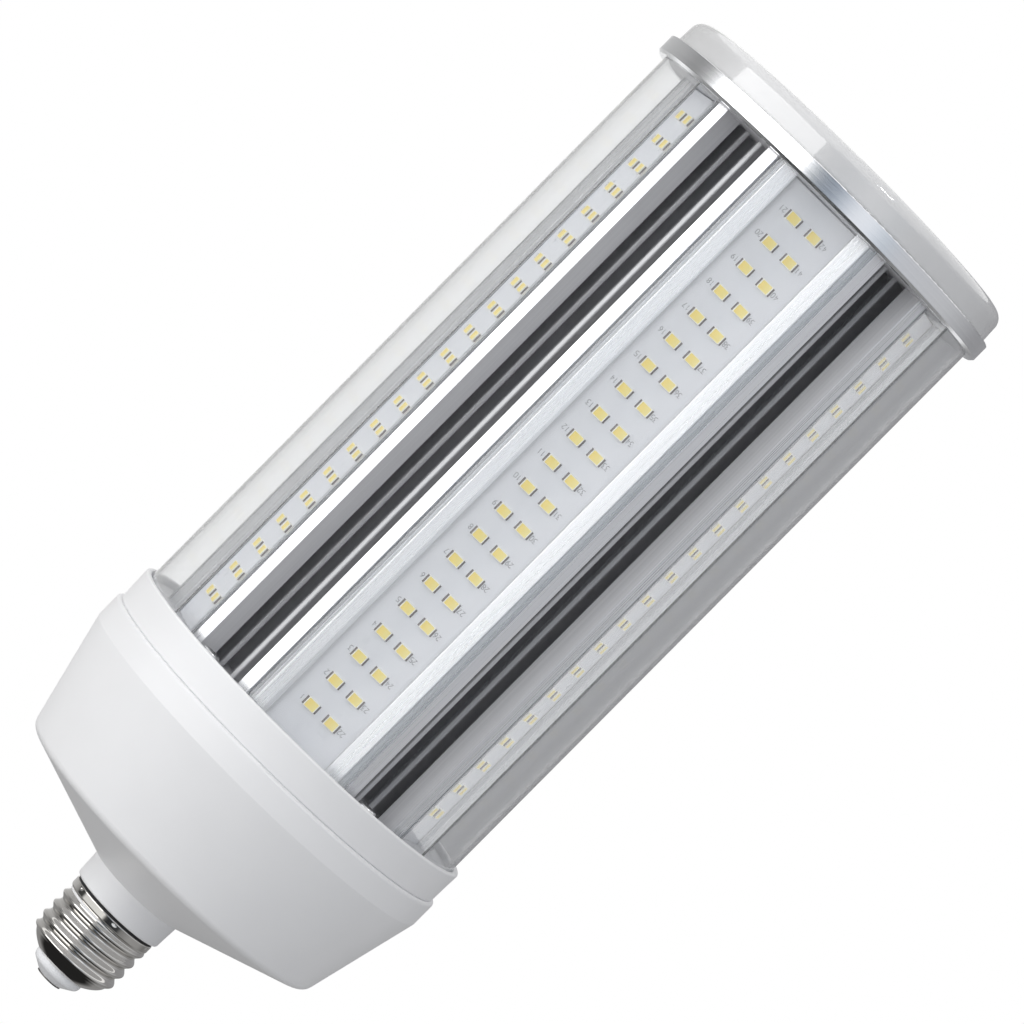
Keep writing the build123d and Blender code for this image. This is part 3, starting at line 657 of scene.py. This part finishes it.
def make_camera():
    """A camera rolled by an eighth of a turn, so that the lamp lies on the picture's diagonal."""
    axis = np.array([math.sin(CAMERA_LEAN) * math.cos(CAMERA_TILT),
                     math.cos(CAMERA_LEAN) * math.cos(CAMERA_TILT), math.sin(CAMERA_TILT)])
    toward = up - axis[2] * axis
    toward /= np.linalg.norm(toward)
    across = np.cross(axis, toward)
    turn = np.outer(across, side) + np.outer(axis, up) + np.outer(toward, front)
    place = CAMERA_AIM * up + turn.T @ np.array([-CAMERA_SIDE, 0.0, CAMERA_DISTANCE])
    right = (turn[0] + turn[1]) / math.sqrt(2)
    upward = (turn[1] - turn[0]) / math.sqrt(2)
    data = bpy.data.cameras.new("camera")
    data.sensor_width = SENSOR
    data.lens = FOCAL_PIXELS / IMAGE_PIXELS * SENSOR
    data.clip_start = CLIP_START
    data.clip_end = CLIP_END
    made = bpy.data.objects.new("camera", data)
    columns = np.eye(4)
    columns[:3] = np.stack([right, upward, turn[2], place], axis=1)
    made.matrix_world = Matrix(columns.tolist())
    bpy.context.scene.collection.objects.link(made)
    bpy.context.scene.camera = made


def softbox(name, azimuth, elevation, distance, width, height, power):
    """An area lamp facing the lamp's middle, placed by its angle from the camera's side."""
    a, e = math.radians(azimuth), math.radians(elevation)
    way = math.cos(e) * (math.cos(a) * front + math.sin(a) * side) + math.sin(e) * up
    data = bpy.data.lights.new(name, "AREA")
    data.shape = "RECTANGLE"
    data.size = width
    data.size_y = height
    data.energy = power
    made = bpy.data.objects.new(name, data)
    made.location = Vector(LAMP_MIDDLE * up + way * distance)
    made.rotation_euler = Vector(way).to_track_quat("Z", "Y").to_euler()
    bpy.context.scene.collection.objects.link(made)


# Tones of the studio wall by azimuth from the camera's side, in degrees, positive to the camera's right
WALL_TONES = [
    (-180.0, (1.0, 1.0, 1.0)),
    (-171.0, (1.0, 1.0, 1.0)),
    (-163.0, (0.56, 0.56, 0.56)),
    (-125.0, (0.42, 0.42, 0.42)),
    (-106.0, (0.24, 0.24, 0.24)),
    (-98.0, (0.30, 0.30, 0.30)),
    (-82.0, (0.90, 0.90, 0.90)),
    (-22.0, (0.90, 0.90, 0.90)),
    (-11.0, (0.24, 0.27, 0.30)),
    (0.0, (0.17, 0.21, 0.27)),
    (9.0, (0.55, 0.60, 0.67)),
    (18.0, (0.92, 0.94, 0.98)),
    (27.0, (0.90, 0.93, 0.98)),
    (38.0, (0.52, 0.58, 0.65)),
    (48.0, (0.57, 0.58, 0.61)),
    (92.0, (0.54, 0.545, 0.56)),
    (132.0, (0.30, 0.30, 0.31)),
    (180.0, (0.32, 0.32, 0.33)),
]
LOW_WALL_TONES = [
    (-180.0, (0.62, 0.62, 0.62)),
    (-128.0, (0.50, 0.50, 0.50)),
    (-108.0, (0.30, 0.30, 0.30)),
    (-100.0, (0.05, 0.05, 0.05)),
    (-84.0, (0.06, 0.06, 0.06)),
    (-76.0, (0.80, 0.80, 0.79)),
    (-12.0, (0.90, 0.90, 0.88)),
    (-5.0, (0.10, 0.10, 0.10)),
    (2.0, (0.03, 0.032, 0.035)),
    (33.0, (0.05, 0.052, 0.055)),
    (42.0, (0.22, 0.22, 0.22)),
    (70.0, (0.34, 0.34, 0.34)),
    (105.0, (0.32, 0.32, 0.32)),
    (125.0, (0.20, 0.20, 0.20)),
    (180.0, (0.30, 0.30, 0.30)),
]
WALL_RADIUS = 1.7
WALL_TOP = 1.1
LOW_WALL_TOP = -0.10
WALL_BLEND = 0.03
WALL_COLUMNS = 145
FLOOR_LEVEL = -0.45
FLOOR_RADIUS = 1.6
FLOOR_GLOW = 0.6
LOW_CARD_LEVEL = -0.16
LOW_CARD_RADIUS = 0.66

# The low card's tones and the distances from the lamp's foot between which they change,
# and the light that it adds on dull surfaces
LOW_CARD_TONES = (0.02, 0.28)
LOW_CARD_GRADE = (0.21, 0.28)
LOW_CARD_GLOW = 0.35
DISC_COLUMNS = 96
WORLD_LIGHT = 0.8


def seen_share(tree):
    """One for rays from the camera, and for those that metal mirrors or a clear cover lets through."""
    rays = node(tree, "ShaderNodeLightPath")
    mirrored = node(tree, "ShaderNodeMath", operation="MAXIMUM")
    seen = node(tree, "ShaderNodeMath", operation="MAXIMUM")
    tree.links.new(rays.outputs["Is Glossy Ray"], mirrored.inputs[0])
    tree.links.new(rays.outputs["Is Transmission Ray"], mirrored.inputs[1])
    tree.links.new(rays.outputs["Is Camera Ray"], seen.inputs[0])
    tree.links.new(mirrored.outputs[0], seen.inputs[1])
    return seen.outputs[0]


def make_background():
    """A world that is seen as white, and that lights the object at a plain level."""
    world = bpy.data.worlds.new("background")
    bpy.context.scene.world = world
    world.use_nodes = True
    tree = world.node_tree
    link = tree.links.new
    light = tree.nodes["Background"]
    light.inputs["Color"].default_value = (1.0, 1.0, 1.0, 1.0)
    light.inputs["Strength"].default_value = WORLD_LIGHT
    white = node(tree, "ShaderNodeBackground", {"Color": (1.0, 1.0, 1.0, 1.0), "Strength": 1.0})
    mix = node(tree, "ShaderNodeMixShader")
    link(seen_share(tree), mix.inputs[0])
    link(light.outputs[0], mix.inputs[1])
    link(white.outputs[0], mix.inputs[2])
    link(mix.outputs[0], tree.nodes["World Output"].inputs["Surface"])


def tone_ramp(tree, share, tones):
    """Wall tones by azimuth, on a share of the full turn from 0 to 1."""
    ramp = node(tree, "ShaderNodeValToRGB")
    stops = ramp.color_ramp.elements
    for place, (azimuth, tone) in enumerate(tones):
        stop = stops[place] if place < 2 else stops.new(1.0)
        stop.position = azimuth / 360 + 0.5
        stop.color = (*tone, 1.0)
    tree.links.new(share, ramp.inputs["Fac"])
    return ramp.outputs["Color"]


def make_wall():
    """A round wall of light and dark cards outside the picture: (turn, height) on a cylinder.

    At each height, a level of 0 gives the low wall's tones and 1 the main wall's."""
    turn = np.linspace(-math.pi, math.pi, WALL_COLUMNS)
    height = np.array([FLOOR_LEVEL, LOW_WALL_TOP - WALL_BLEND, LOW_WALL_TOP + WALL_BLEND, WALL_TOP])
    level = np.array([0.0, 0.0, 1.0, 1.0])
    around = np.cos(turn)[:, None] * front + np.sin(turn)[:, None] * side
    points = around[:, None, :] * WALL_RADIUS + height[None, :, None] * up
    columns, rows = len(turn), len(height)
    corner = (np.arange(columns - 1)[:, None] * rows + np.arange(rows - 1)[None, :]).ravel()
    faces = np.stack([corner, corner + 1, corner + rows + 1, corner + rows], axis=1).tolist()
    mesh = bpy.data.meshes.new("studio_wall")
    mesh.from_pydata(points.reshape(-1, 3).tolist(), [], faces)
    share = np.repeat((turn / (2 * math.pi) + 0.5)[:, None], rows, axis=1)
    uv = np.stack([share, np.repeat(level[None, :], columns, axis=0)], axis=-1).reshape(-1, 2)
    index = np.empty(len(mesh.loops), dtype=np.int32)
    mesh.loops.foreach_get("vertex_index", index)
    mesh.uv_layers.new(name="wall").data.foreach_set("uv", uv[index].astype(np.float32).ravel())
    cards = bpy.data.materials.new("wall_cards")
    cards.use_nodes = True
    tree = cards.node_tree
    link = tree.links.new
    where = node(tree, "ShaderNodeUVMap", uv_map="wall")
    split = node(tree, "ShaderNodeSeparateXYZ")
    mix = node(tree, "ShaderNodeMix", data_type="RGBA")
    glow = node(tree, "ShaderNodeEmission", {"Strength": 1.0})
    link(where.outputs[0], split.inputs[0])
    link(split.outputs["Y"], mix.inputs[0])
    link(tone_ramp(tree, split.outputs["X"], LOW_WALL_TONES), mix.inputs[6])
    link(tone_ramp(tree, split.outputs["X"], WALL_TONES), mix.inputs[7])
    link(mix.outputs[2], glow.inputs["Color"])
    link(glow.outputs[0], tree.nodes["Material Output"].inputs["Surface"])
    mesh.materials.append(cards)
    made = bpy.data.objects.new("studio_wall", mesh)
    bpy.context.scene.collection.objects.link(made)
    made.visible_camera = False
    made.visible_shadow = False


def stage_disc(name, radius, level, material):
    """A flat round card: one face whose rim is (radius cos turn, radius sin turn, level)."""
    turn = full_turn(DISC_COLUMNS)
    rim = np.stack([radius * np.cos(turn), radius * np.sin(turn), np.full_like(turn, level)], axis=1)
    mesh = bpy.data.meshes.new(name)
    mesh.from_pydata(rim.tolist(), [], [list(range(len(turn)))])
    mesh.materials.append(material)
    made = bpy.data.objects.new(name, mesh)
    bpy.context.scene.collection.objects.link(made)
    return made


def make_floor():
    """A round pale floor; it is seen lit up to white, less the lamp's shadow."""
    paper, tree, shader = finish_of("floor_paper", (0.80, 0.80, 0.80), 0.9)
    link = tree.links.new
    glow = node(tree, "ShaderNodeEmission", {"Color": (1.0, 1.0, 1.0, 1.0)})
    strength = node(tree, "ShaderNodeMath", {1: FLOOR_GLOW}, operation="MULTIPLY")
    both = node(tree, "ShaderNodeAddShader")
    link(seen_share(tree), strength.inputs[0])
    link(strength.outputs[0], glow.inputs["Strength"])
    link(shader.outputs[0], both.inputs[0])
    link(glow.outputs[0], both.inputs[1])
    link(both.outputs[0], tree.nodes["Material Output"].inputs["Surface"])
    stage_disc("floor", FLOOR_RADIUS, FLOOR_LEVEL, paper)


def make_low_card():
    """A round card under the lamp, dark in its middle, which the cap's taper mirrors."""
    felt = bpy.data.materials.new("card_felt")
    felt.use_nodes = True
    tree = felt.node_tree
    link = tree.links.new
    where = node(tree, "ShaderNodeTexCoord")
    reach = node(tree, "ShaderNodeVectorMath", operation="LENGTH")
    grade = node(tree, "ShaderNodeMapRange", {
        "From Min": LOW_CARD_GRADE[0], "From Max": LOW_CARD_GRADE[1],
        "To Min": LOW_CARD_TONES[0], "To Max": LOW_CARD_TONES[1]})
    rays = node(tree, "ShaderNodeLightPath")
    strength = node(tree, "ShaderNodeMath", {1: LOW_CARD_GLOW}, operation="MULTIPLY_ADD")
    glow = node(tree, "ShaderNodeEmission", {"Color": (1.0, 1.0, 1.0, 1.0)})
    link(where.outputs["Object"], reach.inputs[0])
    link(reach.outputs["Value"], grade.inputs["Value"])
    link(rays.outputs["Is Diffuse Ray"], strength.inputs[0])
    link(grade.outputs["Result"], strength.inputs[2])
    link(strength.outputs[0], glow.inputs["Strength"])
    link(glow.outputs[0], tree.nodes["Material Output"].inputs["Surface"])
    made = stage_disc("low_card", LOW_CARD_RADIUS, LOW_CARD_LEVEL, felt)
    made.visible_camera = False
    made.visible_shadow = False
    made.visible_transmission = False


make_camera()
make_background()
make_wall()
make_floor()
make_low_card()
softbox("key_softbox", azimuth=-51.0, elevation=7.0, distance=1.0, width=1.22, height=0.70, power=5.2)
softbox("top_lamp", azimuth=30.0, elevation=58.0, distance=1.2, width=0.16, height=0.06, power=1.0)

bpy.context.scene.view_settings.view_transform = "Standard"
